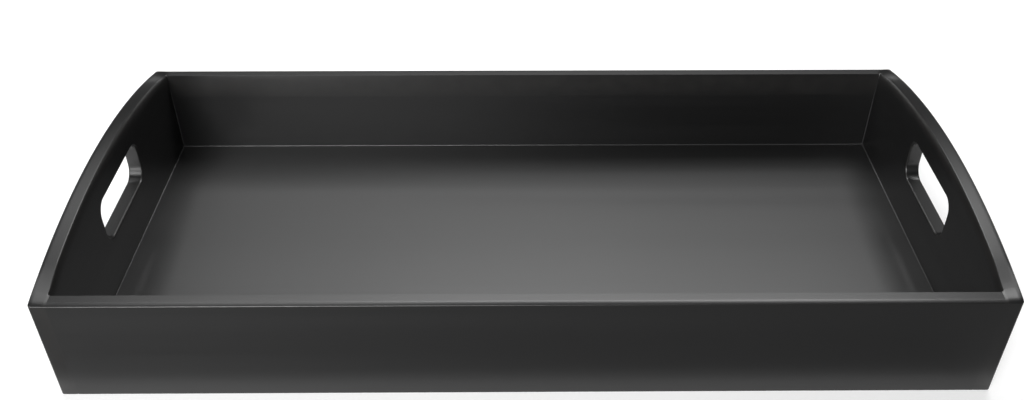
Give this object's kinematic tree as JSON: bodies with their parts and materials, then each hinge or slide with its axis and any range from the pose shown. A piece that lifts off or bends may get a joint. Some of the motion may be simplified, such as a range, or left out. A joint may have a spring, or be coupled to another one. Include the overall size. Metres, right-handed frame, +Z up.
{
  "type": "serving tray",
  "caption": "Oblong serving tray of black-lacquered bamboo: straight upright sides, taller ends with arched tops and a finger hole through each, and a thin floor set just above the table.",
  "frame": {"origin": "on the table under the tray's middle", "axes": "+X along the tray to its right end, +Y across it to its back rail, +Z up"},
  "size_m": [0.61, 0.29, 0.0975],
  "materials": {
    "black_lacquer": "satin black lacquer over laminated bamboo boards",
    "black_lacquer_floor": "satin black lacquer over a thin bamboo panel, faint lengthwise grain",
    "bare_bamboo": "bare turned bamboo rod, hidden in the joints"
  },
  "bodies": {
    "root": {"front_rail": "black_lacquer", "back_rail": "black_lacquer", "left_end": "black_lacquer", "right_end": "black_lacquer", "floor_panel": "black_lacquer_floor", "dowel_front_left_lower": "bare_bamboo", "dowel_front_left_upper": "bare_bamboo", "dowel_front_right_lower": "bare_bamboo", "dowel_front_right_upper": "bare_bamboo", "dowel_back_left_lower": "bare_bamboo", "dowel_back_left_upper": "bare_bamboo", "dowel_back_right_lower": "bare_bamboo", "dowel_back_right_upper": "bare_bamboo"}
  },
  "joints": []
}
